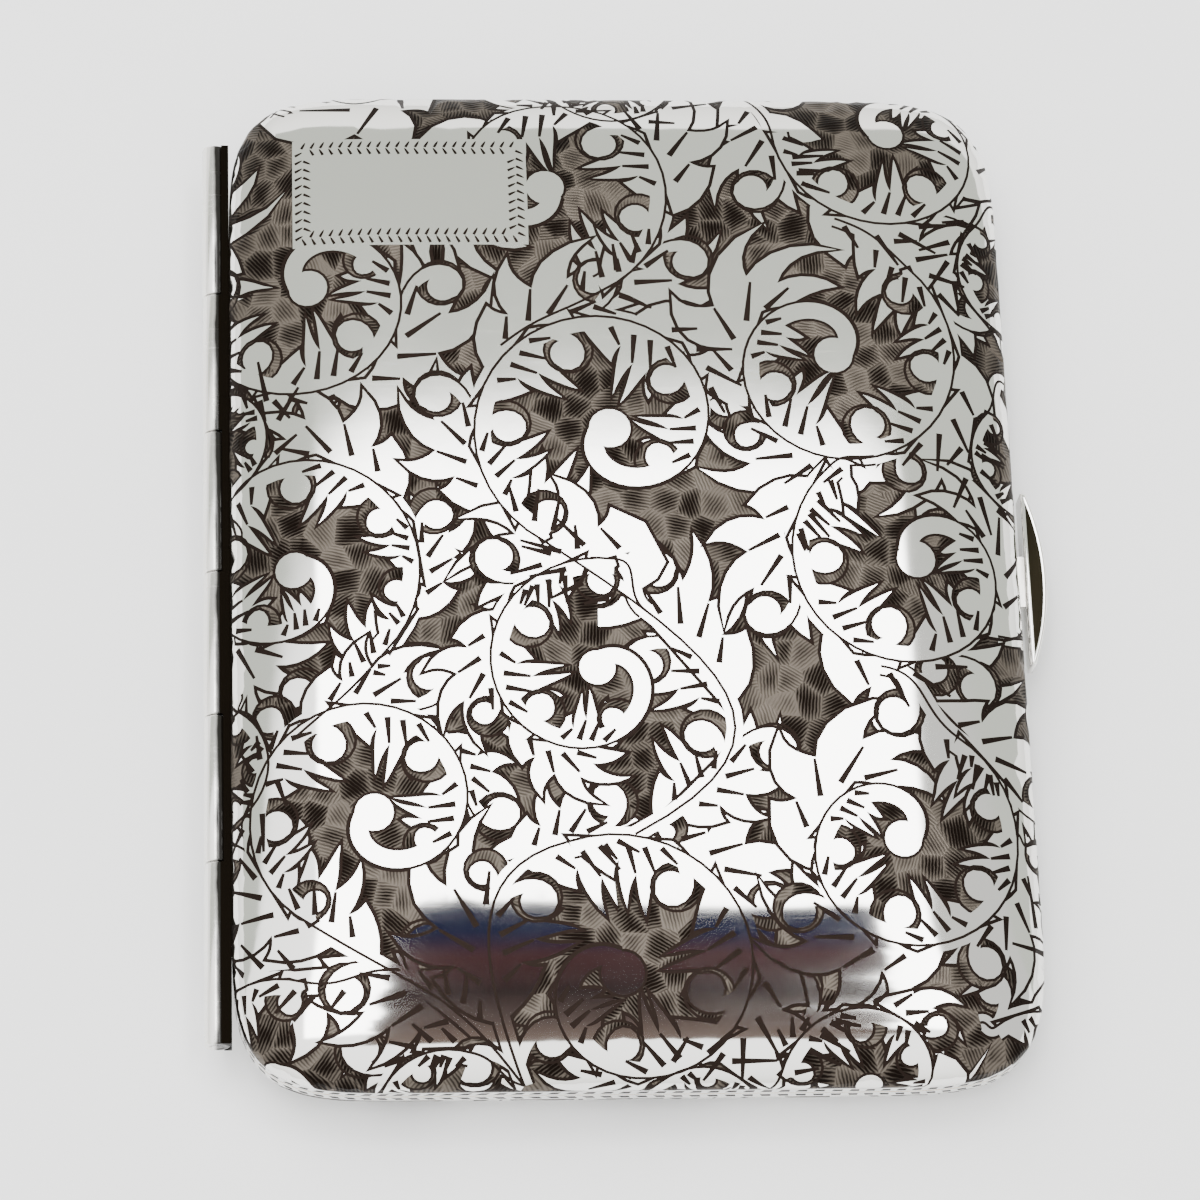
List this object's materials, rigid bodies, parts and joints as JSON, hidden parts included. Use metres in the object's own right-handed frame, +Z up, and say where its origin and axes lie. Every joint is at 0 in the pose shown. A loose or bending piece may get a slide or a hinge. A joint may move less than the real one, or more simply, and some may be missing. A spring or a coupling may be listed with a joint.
{
  "type": "business card case",
  "caption": "Cushion-shaped pocket card case of sheet silver, hinged along one long side, with a sprung thumb piece on the other and a strapped, gilt inside.",
  "frame": {"origin": "middle of the flat on the back shell, which the shut case lies on", "axes": "+X from the hinge to the thumb piece, +Y along the long side towards the top end, +Z up through the thickness towards the front"},
  "size_m": [0.0782, 0.098, 0.012],
  "materials": {
    "silver": "polished sterling silver, engraved outside, with the cut ground darkened",
    "gilt": "pale gilding, softly polished",
    "elastic": "ribbed woven elastic",
    "steel": "hard drawn nickel silver"
  },
  "bodies": {
    "back": {"back_shell": "silver", "bezel": "gilt", "back_bearer": "silver", "back_knuckle_1": "silver", "back_knuckle_2": "silver", "back_knuckle_3": "silver", "hinge_pin": "steel", "pin_plug_top": "silver", "catch_spring": "steel", "spring_rivets": "silver", "strap_bar_top": "gilt", "strap_bar_bottom": "gilt", "elastic_strap": "elastic"},
    "front": {"front_shell": "silver", "front_bearer": "silver", "front_knuckle_1": "silver", "front_knuckle_2": "silver", "front_knuckle_3": "silver", "striker": "gilt", "pin_plug_bottom": "silver"},
    "thumb": {"thumb_piece": "silver", "catch_tang": "silver"}
  },
  "joints": [
    {"name": "front_open", "type": "hinge", "parent": "back", "child": "front", "pos_m": [-0.0378, 0, 0.006], "axis": [0, -1, 0], "range_deg": [0, 180]},
    {"name": "thumb_press", "type": "slide", "parent": "back", "child": "thumb", "axis": [-1, 0, 0], "range_m": [0, 0.00065], "stiffness_N_per_m": 4000, "springref_m": -0.0005, "deforming": ["catch_spring"]}
  ]
}
